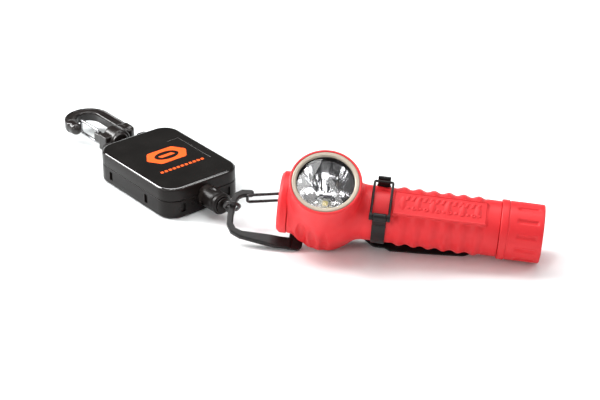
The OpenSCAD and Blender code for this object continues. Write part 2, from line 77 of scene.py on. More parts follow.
def placed(origin, x_dir, y_dir):
    """Matrix from millimetres in a frame with these x and y axes to metres in the row frame."""
    x = unit(x_dir)
    z = unit(np.cross(x, y_dir))
    m = np.eye(4)
    m[:3, 0], m[:3, 1], m[:3, 2], m[:3, 3] = x * MM, np.cross(z, x) * MM, z * MM, origin
    return m


def turned(m, angle):
    """The frame m turned about its own x axis."""
    c, s = math.cos(angle), math.sin(angle)
    return m @ np.array([[1, 0, 0, 0], [0, c, -s, 0], [0, s, c, 0], [0, 0, 0, 1]])


def moved(m, x=0, y=0, z=0):
    """The frame m moved along its own axes, in millimetres."""
    return m @ np.array([[1, 0, 0, x], [0, 1, 0, y], [0, 0, 1, z], [0, 0, 0, 1]])


def at(joint):
    return np.array(joints[joint]["pos_m"])


light_x = unit(joints["button_press"]["axis"])
light_y = [
    math.sin(LIGHT_PITCH) * math.sin(LIGHT_ROLL),
    math.cos(LIGHT_ROLL),
    math.cos(LIGHT_PITCH) * math.sin(LIGHT_ROLL),
]
LIGHT = placed(at("tailcap_turn") - CAP_PIVOT_X * MM * light_x, light_x, light_y)
CLIP = turned(LIGHT, -CLIP_ROLL)
reel_u = -unit(joints["line_pull"]["axis"])
case_lo, case_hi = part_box("lower_case")
case_mid = (case_lo + case_hi) / 2
REEL = placed([case_mid.x, case_mid.y, 0], reel_u, np.cross([0, 0, 1], reel_u))
ring_x = unit(at("ring_swing") - at("bead_swing"))
ring_z = unit(CLIP[:3, 1] - (CLIP[:3, 1] @ ring_x) * ring_x)
RING = placed(at("bead_swing"), ring_x, np.cross(ring_z, ring_x))
RING_LENGTH = np.linalg.norm(at("ring_swing") - at("bead_swing")) / MM

# ---- Camera ----

CAMERA_AZIMUTH = math.radians(6.5)
CAMERA_ELEVATION = math.radians(28)
CAMERA_DISTANCE = 1.049
CAMERA_TARGET = Vector((0.00676, 0.0015, 0))


def make_camera():
    data = bpy.data.cameras.new("camera")
    data.lens, data.sensor_width = 114, 36
    camera = bpy.data.objects.new("camera", data)
    bpy.context.scene.collection.objects.link(camera)
    level = math.cos(CAMERA_ELEVATION)
    back = Vector((
        math.sin(CAMERA_AZIMUTH) * level, -math.cos(CAMERA_AZIMUTH) * level, math.sin(CAMERA_ELEVATION)
    ))
    camera.location = CAMERA_TARGET + CAMERA_DISTANCE * back
    camera.rotation_mode = "QUATERNION"
    camera.rotation_quaternion = (-back).to_track_quat("-Z", "Y")
    bpy.context.scene.camera = camera


make_camera()

# ---- Materials ----


def new_material(name):
    """A node material, with its shader and a short way to add and link nodes."""
    m = bpy.data.materials.new(name)
    m.use_nodes = True
    shader = m.node_tree.nodes["Principled BSDF"]

    def add(kind, **sockets):
        node = m.node_tree.nodes.new(kind)
        for key, value in sockets.items():
            node.inputs[key.replace("_", " ")].default_value = value
        return node

    return m, shader, add, m.node_tree.links.new


def scaled(colour, k):
    return [min(1, c * k) for c in colour] + [1]


def coated(
    name, colour, roughness, metallic=0.0, mottle=0.06, mottle_scale=90, rough_spread=0.06,
    grain_scale=3000, grain_mm=0.02, edge=None, stretch=(1, 1, 1), **plain
):
    """Solid finish with cloudy colour, uneven gloss and a fine grain; edge is a lighter colour painted on
    sharp corners, a painted highlight along the edges.
    """
    m, shader, add, link = new_material(name)
    where = add("ShaderNodeTexCoord").outputs["Object"]
    mapping = add("ShaderNodeMapping", Scale=stretch)
    link(where, mapping.inputs["Vector"])
    spots = []
    for scale, detail in ((mottle_scale, 4), (grain_scale, 3)):
        noise = add("ShaderNodeTexNoise", Scale=scale, Detail=detail)
        link(mapping.outputs["Vector"], noise.inputs["Vector"])
        spots.append(noise.outputs["Fac"])
    ramp = add("ShaderNodeValToRGB")
    low, high = ramp.color_ramp.elements
    low.position, high.position = 0.3, 0.7
    low.color, high.color = scaled(colour, 1 - mottle), scaled(colour, 1 + mottle)
    link(spots[0], ramp.inputs["Fac"])
    paint = ramp.outputs["Color"]
    # Sharp convex corners blend towards the edge colour: a painted highlight along the edges, not wear.
    if edge:
        corner = add("ShaderNodeNewGeometry").outputs["Pointiness"]
        painted_edge_highlight = add("ShaderNodeMapRange", From_Min=0.52, From_Max=0.6, To_Min=0.0, To_Max=0.5)
        link(corner, painted_edge_highlight.inputs["Value"])
        mix = m.node_tree.nodes.new("ShaderNodeMix")
        mix.data_type = "RGBA"
        link(painted_edge_highlight.outputs["Result"], mix.inputs["Factor"])
        link(paint, mix.inputs["A"])
        mix.inputs["B"].default_value = [*edge, 1]
        paint = mix.outputs["Result"]
    link(paint, shader.inputs["Base Color"])
    gloss = add(
        "ShaderNodeMapRange", From_Min=0.3, From_Max=0.7,
        To_Min=max(0.02, roughness - rough_spread), To_Max=roughness + rough_spread
    )
    link(spots[0], gloss.inputs["Value"])
    link(gloss.outputs["Result"], shader.inputs["Roughness"])
    if grain_mm:
        bump = add("ShaderNodeBump", Distance=grain_mm * MM, Strength=1.0)
        link(spots[1], bump.inputs["Height"])
        link(bump.outputs["Normal"], shader.inputs["Normal"])
    shader.inputs["Metallic"].default_value = metallic
    for key, value in plain.items():
        shader.inputs[key.replace("_", " ")].default_value = value
    return m


def clear_lens():
    m, shader, add, link = new_material("lens_glass")
    noise = add("ShaderNodeTexNoise", Scale=60, Detail=3)
    link(add("ShaderNodeTexCoord").outputs["Object"], noise.inputs["Vector"])
    tint = add("ShaderNodeMapRange", From_Min=0.3, From_Max=0.8, To_Min=0.99, To_Max=0.95)
    link(noise.outputs["Fac"], tint.inputs["Value"])
    link(tint.outputs["Result"], shader.inputs["Base Color"])
    shader.inputs["Roughness"].default_value = 0
    shader.inputs["Transmission Weight"].default_value = 1
    shader.inputs["IOR"].default_value = 1.3
    return m


def streaky_mirror():
    """Bright metal whose surface waves a little round the dish, so that reflections break into streaks."""
    m, shader, add, link = new_material("reflector_metal")
    mapping = add("ShaderNodeMapping", Scale=(13, 0.3, 1))
    link(add("ShaderNodeTexCoord").outputs["UV"], mapping.inputs["Vector"])
    waves = add("ShaderNodeTexNoise", Scale=1.0, Detail=0.5)
    link(mapping.outputs["Vector"], waves.inputs["Vector"])
    bump = add("ShaderNodeBump", Distance=0.42 * MM, Strength=1.0)
    link(waves.outputs["Fac"], bump.inputs["Height"])
    link(bump.outputs["Normal"], shader.inputs["Normal"])
    shader.inputs["Base Color"].default_value = (0.93, 0.93, 0.94, 1)
    shader.inputs["Metallic"].default_value = 1
    shader.inputs["Roughness"].default_value = 0.09
    return m


# The edge colours given to the finishes below are painted highlights along sharp corners.
red_polymer = coated(
    "red_polymer", (0.69, 0.019, 0.024), 0.46, mottle=0.03, mottle_scale=70, rough_spread=0.04,
    grain_scale=2600, grain_mm=0.03, edge=(0.74, 0.06, 0.06), Specular_IOR_Level=0.35
)
red_rubber = coated(
    "red_rubber", (0.64, 0.018, 0.022), 0.6, mottle=0.04, grain_scale=1800, grain_mm=0.05,
    Specular_IOR_Level=0.35
)
bezel_metal = coated(
    "bezel_metal", (0.40, 0.34, 0.27), 0.45, metallic=0.4, mottle=0.05, mottle_scale=400,
    grain_scale=5000, grain_mm=0.01
)
lens_glass = clear_lens()
mirror = streaky_mirror()
led_dome = coated("led_dome", (0.92, 0.91, 0.86), 0.12, mottle=0.02, grain_mm=0, Transmission_Weight=0.8)
led_white = coated("led_base", (0.72, 0.72, 0.70), 0.35, mottle=0.03)
led_chip = coated("led_chip", (0.95, 0.72, 0.08), 0.4, mottle=0.1, mottle_scale=3000)
board_green = coated(
    "board", (0.02, 0.16, 0.07), 0.35, mottle=0.2, mottle_scale=900, grain_scale=900, grain_mm=0.03
)
heat_sink_metal = coated(
    "heat_sink_metal", (0.62, 0.63, 0.65), 0.4, metallic=1, stretch=(1, 1, 6), grain_mm=0.02
)
switch_plastic = coated("switch_plastic", (0.06, 0.06, 0.065), 0.5)
brass = coated("contact_brass", (0.82, 0.60, 0.26), 0.28, metallic=1, mottle=0.1, mottle_scale=300)
cell_wrap = coated("cell_wrap", (0.10, 0.13, 0.20), 0.3, mottle=0.1, grain_mm=0.01)
black_rubber = coated("black_rubber", (0.012, 0.011, 0.011), 0.55, mottle=0.15, Specular_IOR_Level=0.3)
black_steel = coated(
    "black_steel", (0.008, 0.007, 0.007), 0.36, mottle=0.25, mottle_scale=140, grain_scale=1500,
    grain_mm=0.02, edge=(0.03, 0.026, 0.024), Specular_IOR_Level=0.25
)
bright_steel = coated("bright_steel", (0.42, 0.42, 0.43), 0.24, metallic=1, mottle=0.08, mottle_scale=500)
dark_steel = coated("dark_steel", (0.022, 0.020, 0.020), 0.3, metallic=0.4, mottle=0.2, mottle_scale=400)
case_black = coated(
    "case_black", (0.008, 0.006, 0.0055), 0.32, mottle=0.12, mottle_scale=60, grain_scale=2200, grain_mm=0.03,
    edge=(0.03, 0.024, 0.021), Specular_IOR_Level=0.18
)
hook_black = coated(
    "hook_black", (0.012, 0.009, 0.008), 0.24, mottle=0.12, mottle_scale=60, grain_scale=2200, grain_mm=0.02,
    edge=(0.035, 0.029, 0.026), Specular_IOR_Level=0.5
)
cover_black = coated(
    "cover_black", (0.008, 0.007, 0.006), 0.13, mottle=0.2, mottle_scale=60, rough_spread=0.04,
    grain_scale=1200, grain_mm=0.003, Specular_IOR_Level=0.8, Coat_Weight=1.0, Coat_Roughness=0.05
)
# Grey for the thin label lines on the cover: a painted reflection of the label recess's edges.
painted_reflection_grey = coated("cover_painted_reflection", (0.10, 0.095, 0.09), 0.3, mottle=0.3, mottle_scale=400)
emblem_orange = coated(
    "emblem_orange", (1.0, 0.115, 0.012), 0.45, mottle=0.03, mottle_scale=200, Specular_IOR_Level=0.3
)
spool_nylon = coated("spool_nylon", (0.72, 0.71, 0.66), 0.45, mottle=0.04)
line_fibre = coated(
    "line_fibre", (0.022, 0.021, 0.022), 0.62, mottle=0.3, mottle_scale=1600, grain_scale=2600, grain_mm=0.08
)

# ---- Mesh makers: each gives vertices and faces in millimetres ----


def make(name, shape, place, material, body, replaces=(), sharp=40, uv=None):
    """A finished piece from (vertices, faces), riding on its body and standing for its CAD nodes."""
    verts, faces = shape
    verts = np.asarray(verts, float) @ place[:3, :3].T + place[:3, 3]
    mesh = bpy.data.meshes.new(name)
    mesh.from_pydata(verts.tolist(), [], [list(map(int, f)) for f in faces])
    if uv is not None:
        layer = mesh.uv_layers.new(name="UVMap")
        loops = np.zeros(len(mesh.loops), int)
        mesh.loops.foreach_get("vertex_index", loops)
        layer.data.foreach_set("uv", np.asarray(uv, np.float32)[loops].ravel())
    mesh.validate()
    mesh.materials.append(material)
    o = bpy.data.objects.new(name, mesh)
    bpy.context.scene.collection.objects.link(o)
    mesh.shade_smooth()
    mesh.set_sharp_from_angle(angle=math.radians(sharp))
    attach(o, body)
    if replaces:
        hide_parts(*replaces)
    return o


def rounded(points, closed=True, steps=6):
    """Corners of an outline of (x, y, radius) points turned into arcs."""
    out = []
    n = len(points)
    for i, (x, y, r) in enumerate(points):
        p = np.array([x, y], float)
        if r <= 0 or (not closed and i in (0, n - 1)):
            out.append(p)
            continue
        a, b = (np.array(points[(i + k) % n][:2], float) - p for k in (-1, 1))
        la, lb = np.linalg.norm(a), np.linalg.norm(b)
        a, b = a / la, b / lb
        half = math.acos(np.clip(a @ b, -1, 1)) / 2
        reach = min(r / math.tan(half), 0.49 * la, 0.49 * lb)
        centre = p + unit(a + b) * reach / math.cos(half)
        start, end = p + a * reach - centre, p + b * reach - centre
        t0 = math.atan2(start[1], start[0])
        turn = (math.atan2(end[1], end[0]) - t0 + math.pi) % (2 * math.pi) - math.pi
        size = np.linalg.norm(start)
        for k in range(steps + 1):
            t = t0 + turn * k / steps
            out.append(centre + size * np.array([math.cos(t), math.sin(t)]))
    return np.array(out)


def evened(outline, n):
    """The closed outline again, as n points at equal steps along it."""
    loop = np.vstack([outline, outline[:1]])
    run = np.r_[0, np.cumsum(np.linalg.norm(np.diff(loop, axis=0), axis=1))]
    at_run = np.linspace(0, run[-1], n, endpoint=False)
    return np.c_[np.interp(at_run, run, loop[:, 0]), np.interp(at_run, run, loop[:, 1])]


def skin(rings, wrap=False):
    """Quads between equal rings of vertices, with flat caps at the ends unless it wraps round."""
    rings = [np.asarray(r, float) for r in rings]
    n = len(rings[0])
    faces = []
    count = len(rings)
    for i in range(count if wrap else count - 1):
        a, b = i * n, (i + 1) % count * n
        faces += [(a + k, a + (k + 1) % n, b + (k + 1) % n, b + k) for k in range(n)]
    if not wrap:
        faces += [tuple(range(n))[::-1], tuple(range((count - 1) * n, count * n))]
    return np.vstack(rings), faces


def revolve(profile, turns=128, axis="z", ripple=None):
    """A closed profile of (radius, height) turned about an axis; ripple(height, angle) adds to the radius."""
    t = np.arange(turns) * 2 * math.pi / turns
    rings = []
    for r, h in profile:
        radius = r + (ripple(h, t) if ripple else 0) + 0 * t
        rings.append(np.c_[radius * np.cos(t), radius * np.sin(t), np.full(turns, h)])
    verts, faces = skin(rings, wrap=True)
    if axis == "x":
        verts = verts[:, [2, 0, 1]]
    return verts, [f[::-1] for f in faces]


def sweep(path, section, up=(0, 0, 1), closed=False):
    """A section of (side, up) points, or one per path point, carried along a path."""
    path = np.asarray(path, float)
    n = len(path)
    ahead = np.roll(path, -1, 0) - path
    behind = path - np.roll(path, 1, 0)
    if not closed:
        ahead[-1], behind[0] = behind[-1], ahead[0]
    forward = [unit(unit(a) + unit(b)) for a, b in zip(ahead, behind)]
    sections = [np.asarray(section)] * n if np.ndim(section[0]) == 1 else [np.asarray(s) for s in section]
    rings = []
    for point, f, shape in zip(path, forward, sections):
        side = unit(np.cross(up, f))
        rings.append(point + shape[:, :1] * side + shape[:, 1:] * np.cross(f, side))
    return skin(rings, wrap=closed)


def circle(r, n=20):
    t = np.arange(n) * 2 * math.pi / n
    return np.c_[r * np.cos(t), r * np.sin(t)]


def oblong(w, h, r, steps=4):
    x, y = w / 2, h / 2
    return rounded([(x, -y, r), (x, y, r), (-x, y, r), (-x, -y, r)], steps=steps)


def inset(outline, d):
    """The outline moved inwards by d."""
    a, b = outline - np.roll(outline, 1, 0), np.roll(outline, -1, 0) - outline
    na, nb = (np.c_[-v[:, 1], v[:, 0]] / np.linalg.norm(v, axis=1)[:, None] for v in (a, b))
    n = na + nb
    return outline + d * 2 * n / np.maximum((n**2).sum(1), 0.4)[:, None]


def slab(outline, z0, z1, edge=0.3, low_edge=None):
    """An outline (anticlockwise) given a height, with round top and bottom edges."""
    low_edge = edge if low_edge is None else low_edge
    arc = [math.radians(a) for a in (0, 22, 45, 68, 90)]
    rings = [(low_edge + 0.1, z0)]
    for a in arc[::-1]:
        rings.append((low_edge * (1 - math.cos(a)), z0 + low_edge * (1 - math.sin(a))))
    for a in arc:
        rings.append((edge * (1 - math.cos(a)), z1 - edge * (1 - math.sin(a))))
    rings.append((edge + 0.1, z1))
    return skin([np.c_[inset(outline, d), np.full(len(outline), z)] for d, z in rings])


def cut(a, b, r=0.0):
    """Where both fields are inside, with the edge rounded to r."""
    if not r:
        return np.maximum(a, b)
    return np.minimum(np.maximum(a, b), -r) + np.hypot(np.maximum(a + r, 0), np.maximum(b + r, 0))


def join(a, b, r=0.0):
    """Where either field is inside, with a fillet of r."""
    return -cut(-a, -b, r)


def block(x, y, z, lo, hi, r):
    """Field of a box from lo to hi with edges rounded to r."""
    q = [abs(p - (a + b) / 2) - (b - a) / 2 + r for p, a, b in zip((x, y, z), lo, hi)]
    away = np.sqrt(sum(np.maximum(p, 0) ** 2 for p in q))
    return away + np.minimum(np.maximum(np.maximum(q[0], q[1]), q[2]), 0) - r


def along(x, y, path, widths):
    """Field of a flat bar that follows a path in the plane, with a half width at each point."""
    best = None
    for i in range(len(path) - 1):
        (ax, ay), (bx, by) = path[i], path[i + 1]
        dx, dy = bx - ax, by - ay
        t = np.clip(((x - ax) * dx + (y - ay) * dy) / (dx * dx + dy * dy), 0, 1)
        d = np.hypot(x - ax - t * dx, y - ay - t * dy) - (widths[i] + t * (widths[i + 1] - widths[i]))
        best = d if best is None else np.minimum(best, d)
    return best


def surface(field, lo, hi, step):
    """Mesh of the surface where field(x, y, z) is 0, on a grid of cells and then moved onto it."""
    step = step * 1
    lo = np.array(lo, float) - 1.5 * step
    counts = np.ceil((np.array(hi, float) - lo) / step).astype(int) + 3
    axes = [lo[k] + step * np.arange(counts[k]) for k in range(3)]
    d = field(*np.meshgrid(*axes, indexing="ij", sparse=True)) + np.zeros(counts)
    inside = d < 0
    steps = list(itertools.product((0, 1), repeat=3))
    total = sum(
        inside[i : counts[0] - 1 + i, j : counts[1] - 1 + j, k : counts[2] - 1 + k].astype(np.int8)
        for i, j, k in steps
    )
    mixed = (total > 0) & (total < 8)
    cells = np.argwhere(mixed)
    index = np.full(mixed.shape, -1)
    index[mixed] = np.arange(len(cells))
    sums, found = np.zeros((len(cells), 3)), np.zeros(len(cells))
    for axis in range(3):
        for a, b in itertools.product((0, 1), repeat=2):
            corner = np.insert([a, b], axis, 0)
            first = cells + corner
            second = first + np.eye(3, dtype=int)[axis]
            d0, d1 = d[tuple(first.T)], d[tuple(second.T)]
            crosses = (d0 < 0) != (d1 < 0)
            place = first.astype(float)
            place[:, axis] += np.where(crosses, d0 / np.where(crosses, d0 - d1, 1), 0)
            sums += np.where(crosses[:, None], place, 0)
            found += crosses
    verts = lo + step * sums / found[:, None]
    quads = []
    for axis in range(3):
        u, v = (axis + 1) % 3, (axis + 2) % 3
        near, far = [slice(1, -1)] * 3, [slice(1, -1)] * 3
        near[axis], far[axis] = slice(0, -1), slice(1, None)
        a, b = inside[tuple(near)], inside[tuple(far)]
        edges = np.argwhere(a != b)
        outward = a[tuple(edges.T)]
        edges[:, [u, v]] += 1
        four = []
        for du, dv in ((-1, -1), (0, -1), (0, 0), (-1, 0)):
            cell = edges.copy()
            cell[:, u] += du
            cell[:, v] += dv
            four.append(index[tuple(cell.T)])
        quad = np.stack(four, 1)
        quads.append(np.where(outward[:, None], quad, quad[:, ::-1]))
    nudge = 0.02
    for _ in range(3):
        slope = np.stack([
            field(*(verts + nudge * e).T) - field(*(verts - nudge * e).T) for e in np.eye(3)
        ], 1) / (2 * nudge)
        away = field(*verts.T) / np.maximum((slope**2).sum(1), 0.1)
        verts -= np.clip(away, -step / 2, step / 2)[:, None] * slope
    return verts, np.vstack(quads).tolist()


# ---- Light: shell ----

HEAD_X, HEAD_R, HEAD_TOP, HEAD_BACK = 23.7, 18.8, 27.5, 18
RIB_START, RIB_PITCH, RIB_COUNT = 60, 7.75, 6
RIB_R, RIB_DEPTH = 15.4, 1.15
RIB_END = RIB_START + RIB_COUNT * RIB_PITCH
NECK_R, SPIGOT_X, SPIGOT_R, SPIGOT_END = 14.4, 114.6, 13.4, 124
PANEL_HALF, PANEL_TOP = 6.8, 14.9


def smooth(t):
    t = np.clip(t, 0, 1)
    return t * t * (3 - 2 * t)


def barrel_radius(x):
    """Radius of the barrel along its axis: collar, shoulder, neck, ribs, plain end and threaded spigot."""
    r = 15.9 + 1.5 * smooth((x - 8) / 4) - (17.4 - NECK_R) * smooth((x - 33) / 12)
    crest = RIB_R - RIB_DEPTH * (1 + np.cos(2 * math.pi * (x - RIB_START) / RIB_PITCH)) / 2
    valley = RIB_R - RIB_DEPTH
    r = np.where(x > 57.2, r + (valley - NECK_R) * smooth((x - 57.2) / 2.8), r)
    r = np.where((x > RIB_START) & (x < RIB_END), crest, r)
    r = np.where(x >= RIB_END, valley + (14.5 - valley) * smooth((x - RIB_END) / 0.6), r)
    thread = 0.22 * abs(((x - 118.7) / 1.6) % 1 * 2 - 1)
    spigot = SPIGOT_R + np.where((x > 118.7) & (x < 123.5), thread - 0.11, 0)
    return np.where(x > SPIGOT_X, spigot, r)


def housing_field(x, y, z):
    rho = np.hypot(y, z)
    head_rho = np.hypot(x - HEAD_X, y)
    head = cut(cut(head_rho - HEAD_R, -HEAD_BACK - z, 6), z - HEAD_TOP, 0.9)
    barrel = cut(cut(rho - barrel_radius(x), 5.4 - x, 0.8), x - SPIGOT_END, 0.3)
    shell = join(head, barrel, 3.6)
    for side, degrees in itertools.product((-1, 1), (84, 102, 120)):
        turn = math.radians(side * degrees)
        reach = HEAD_R + 1.6 + 0.1 * np.maximum(z + 6, 0)
        flute = np.hypot(x - HEAD_X - reach * math.cos(turn), y - reach * math.sin(turn)) - 2.9
        shell = cut(shell, -flute, 0.6)
    panel = block(
        x, y, z, (RIB_START - 1, -PANEL_HALF, 8), (RIB_END + 1, PANEL_HALF, PANEL_TOP - 0.5), 0.3
    )
    shell = join(shell, panel, 0.5)
    seat = cut(head_rho - 17.45, 22.6 - z)
    cavity = cut(head_rho - 15.9, -13.6 - z)
    switch_bore = cut(rho - 11.5, x - 12)
    wire_way = cut(rho - 5, abs(x - 37) - 7.5)
    battery_bore = cut(rho - 12, 43.5 - x)
    for hole in (seat, cavity, switch_bore, wire_way, battery_bore):
        shell = cut(shell, -hole, 0.3)
    return shell


def make_housing():
    shape = surface(housing_field, (5.4, -HEAD_R, -HEAD_BACK), (SPIGOT_END, HEAD_R, HEAD_TOP), 0.5)
    make("housing_shell", shape, LIGHT, red_polymer, "light", ["housing"], sharp=60)


def grip_marks(x, y):
    """Height of the raised pattern: a row of short slanted bars over a row of small studs."""
    high = np.zeros(np.broadcast(x, y).shape)
    for i in range(13):
        mid = 66.2 + i * 3.05
        lean = 0.45 * (y - 3.1)
        bar = np.hypot(np.maximum(abs(x - mid - lean) - 0.35, 0), np.maximum(abs(y - 3.1) - 0.95, 0))
        high = np.maximum(high, smooth((0.55 - bar) / 0.35))
        stud = abs(np.hypot(x - mid - 0.8, y + 2.3) - (0.75 if i % 2 else 0.35))
        high = np.maximum(high, smooth((0.55 - stud) / 0.35))
    return 0.38 * high


def make_grip_panel():
    """The flat on top of the ribs, with its raised lip and pattern, as a fine grid closed underneath."""
    x0, x1 = RIB_START - 0.8, RIB_END + 0.8
    fine = 1
    xs = np.linspace(x0, x1, 260 // fine)
    ys = np.linspace(-PANEL_HALF, PANEL_HALF, 90 // fine)
    x, y = np.meshgrid(xs, ys, indexing="ij")
    rim = np.minimum(np.minimum(x - x0, x1 - x), PANEL_HALF - abs(y))
    side = PANEL_HALF - abs(y)
    z = PANEL_TOP - 0.05 - 0.7 * (1 - smooth(rim / 0.5))
    z += 0.28 * smooth(side / 0.4) * (1 - smooth((side - 0.5) / 0.5)) + grip_marks(x, y) * smooth(side - 1)
    nx, ny = x.shape
    top = np.c_[x.ravel(), y.ravel(), z.ravel()]
    faces = [
        (i * ny + j, (i + 1) * ny + j, (i + 1) * ny + j + 1, i * ny + j + 1)
        for i in range(nx - 1) for j in range(ny - 1)
    ]
    border = (
        [i * ny for i in range(nx)] + [(nx - 1) * ny + j for j in range(1, ny)]
        + [i * ny + ny - 1 for i in range(nx - 2, -1, -1)] + [j for j in range(ny - 2, 0, -1)]
    )
    n, m = len(top), len(border)
    low = top[border].copy()
    low[:, 2] = 12.6
    faces += [(n + k, n + (k + 1) % m, border[(k + 1) % m], border[k]) for k in range(m)]
    faces.append(tuple(range(n, n + m))[::-1])
    make("grip_panel", (np.vstack([top, low]), faces), LIGHT, red_polymer, "light", sharp=60)


def make_switch_end():
    collar = rounded([
        (9.0, 0.9, 0.5), (9.9, 0.0, 0.5), (14.6, 0.0, 0.6), (16.2, 1.5, 1.4), (16.2, 5.2, 0.5),
        (11.4, 5.2, 0), (11.4, 9, 0), (9.0, 9, 0)
    ])
    make("switch_collar_ring", revolve(collar, axis="x"), LIGHT, red_polymer, "light",
         ["switch_collar"])
    boot = rounded([
        (0.01, 0.6, 0), (4.4, 0.75, 2), (4.8, 1.2, 0.3), (5.3, 1.2, 0.3), (5.8, 0.8, 0.3), (7.2, 1.0, 1),
        (8.6, 2.2, 1), (8.6, 4.2, 0.2), (0.01, 4.2, 0)
    ])
    make("power_button_boot", revolve(boot, axis="x"), LIGHT, red_rubber, "power_button",
         ["button_boot"])


# ---- Light: lamp ----

LENS_Z, DISH_Z, DISH_R, DISH_DEPTH = 24.4, 3, 14.9, 21.2
LAMP = moved(LIGHT, x=HEAD_X)


def make_lamp():
    bezel = rounded([
        (15.0, 26.1, 0.1), (17.35, 26.1, 0.1), (17.35, 27.25, 0.35), (16.8, 27.5, 0.4), (15.5, 27.45, 0.3),
        (15.0, 26.95, 0.25)
    ])
    make("bezel", revolve(bezel, turns=192), LAMP, bezel_metal, "light", ["bezel_ring"])
    # The seal's inner black lip, reaching in to radius 14.4 over the reflector's rim, is a painted shade ring
    # for the shadow gap between bezel and reflector.
    gasket = rounded([
        (15.65, 22.6, 0), (17.4, 22.6, 0.2), (17.4, 26.05, 0.2), (15.65, 26.05, 0.1), (15.65, 24.36, 0),
        (14.4, 24.36, 0.15), (14.4, 23.7, 0.15), (15.65, 23.7, 0)
    ])
    make("lens_seal_with_painted_shade_lip", revolve(gasket, turns=192), LAMP, black_rubber, "light",
         ["lens_gasket"])
    glass = rounded([
        (0.01, LENS_Z, 0), (15.6, LENS_Z, 0.2), (15.6, LENS_Z + 1.6, 0.3), (0.01, LENS_Z + 1.6, 0)
    ])
    lens = make("front_lens", revolve(glass, turns=192), LAMP, lens_glass, "light", ["lens"])
    lens.visible_shadow = False
    depth = np.linspace(0, DISH_DEPTH - 0.5, 48)
    curve = DISH_R * np.sqrt((depth + 0.9) / (DISH_DEPTH + 0.9))
    profile = [(r, d + DISH_Z) for r, d in zip(curve, depth)]
    profile += [(r + 0.9, d + DISH_Z) for r, d in zip(curve[::-1], depth[::-1])]
    turns = 192
    shape = revolve(profile, turns)
    t = np.tile(np.arange(turns) / turns, len(profile))
    t = np.minimum(t, 1 - t) * 2
    down = np.repeat([d / DISH_DEPTH for _, d in profile], turns)
    make("reflector_dish", shape, LAMP, mirror, "light", ["reflector"],
         uv=np.c_[t, down])
    dome = [(2.7 * math.sin(a), 2.7 + 2.7 * math.cos(a)) for a in np.linspace(0.02, 1.57, 16)]
    dome += [(2.7, 2.0), (0.01, 2.0)]
    make("led_dome", revolve(dome, turns=48), LAMP, led_dome, "light", ["led_emitter"])
    post = rounded([(0.01, -4.9, 0), (2.9, -4.9, 0.2), (2.9, 1.95, 0.2), (0.01, 1.95, 0)])
    make("led_post", revolve(post, turns=48), LAMP, led_white, "light")
    chip = slab(oblong(1.9, 1.9, 0.2), 2.05, 3.0, 0.1)
    make("led_chip", chip, LAMP, led_chip, "light")


# ---- Light: strap, bail and clip ----

BAND_X, BAND_W, BAND_R = 53, 7.2, 15.4
KNUCKLE_Y, BAIL_Z, BAIL_REACH, BAIL_HALF, BAIL_WIRE_R = -10.2, 15.6, 20.8, 4.75, 0.68
WIRE_R = 0.8
PLATE_Z, PLATE_T, HOOK_Z, HOOK_T = -18.95, 1.2, -19.2, 3.2
GATE_PIVOT, GATE_TIP, GATE_HALF = (9.4, 18.4), (-19, 12.2), 3.1


def make_strap():
    turns = np.radians(np.linspace(124, 398, 120))
    mid = (NECK_R + 0.1 + BAND_R) / 2
    path = [(BAND_X, mid * math.cos(t), mid * math.sin(t)) for t in turns]
    rings = []
    edge = oblong(BAND_W, BAND_R - NECK_R - 0.1, 0.3)
    for p, t in zip(path, turns):
        out = np.array([0, math.cos(t), math.sin(t)])
        rings.append(np.array(p) + edge[:, :1] * np.array([1, 0, 0]) + edge[:, 1:] * out)
    make("strap", skin(rings), LIGHT, black_steel, "light", ["strap_band"])

    def knuckle(x, y, z):
        barrel = cut(np.hypot(y - KNUCKLE_Y, z - BAIL_Z) - 2, abs(x - BAND_X) - 3.6, 0.4)
        foot = block(x, y, z, (BAND_X - 3.6, KNUCKLE_Y - 2, 9.5), (BAND_X + 3.6, KNUCKLE_Y + 1.2, 15.5), 0.4)
        solid = join(barrel, foot, 0.5)
        solid = cut(solid, BAND_R - np.hypot(y, z))
        return cut(solid, WIRE_R + 0.06 - np.hypot(y - KNUCKLE_Y, z - BAIL_Z))

    shape = surface(knuckle, (BAND_X - 3.6, KNUCKLE_Y - 2.2, 9), (BAND_X + 3.6, KNUCKLE_Y + 2.2, 17.7), 0.25)
    make("strap_hinge", shape, LIGHT, black_steel, "light", ["strap_knuckle"])

    def catch(x, y, z):
        corners = [(12.4, 8), (13.6, 13), (12.7, 15.4)]
        solid = cut(along(y, z, corners, (2.4, 1.5, 0.9)), abs(x - BAND_X) - 3.3, 0.4)
        grooves = 0.25 * (1 - smooth(abs(((y - z) / 1.5) % 1 - 0.5) * 4))
        return cut(solid + grooves, BAND_R - np.hypot(y, z))

    shape = surface(catch, (BAND_X - 3.3, 9, 6), (BAND_X + 3.3, 16, 16.6), 0.25)
    make("strap_latch", shape, LIGHT, black_steel, "light", ["strap_catch"])
    corners = rounded([
        (BAND_X - BAIL_HALF, KNUCKLE_Y, 0.9), (BAND_X + BAIL_HALF, KNUCKLE_Y, 0.9),
        (BAND_X + BAIL_HALF, KNUCKLE_Y + BAIL_REACH, 0.8), (BAND_X - BAIL_HALF, KNUCKLE_Y + BAIL_REACH, 0.8)
    ])
    path = np.c_[corners, np.full(len(corners), BAIL_Z)]
    make("bail_loop", sweep(path, circle(BAIL_WIRE_R), closed=True), LIGHT, black_steel, "bail",
         ["bail_wire"])
    pivot = moved(LIGHT, BAND_X, KNUCKLE_Y, BAIL_Z)
    for side, name in ((-1, "bail_eye_near"), (1, "bail_eye_far")):
        low, high = sorted((side * 3.72, side * 5.5))
        eye = rounded([(0.01, low, 0), (2.0, low, 0.3), (2.0, high, 0.3), (0.01, high, 0)])
        make(name, revolve(eye, axis="x", turns=40), pivot, black_steel, "bail")


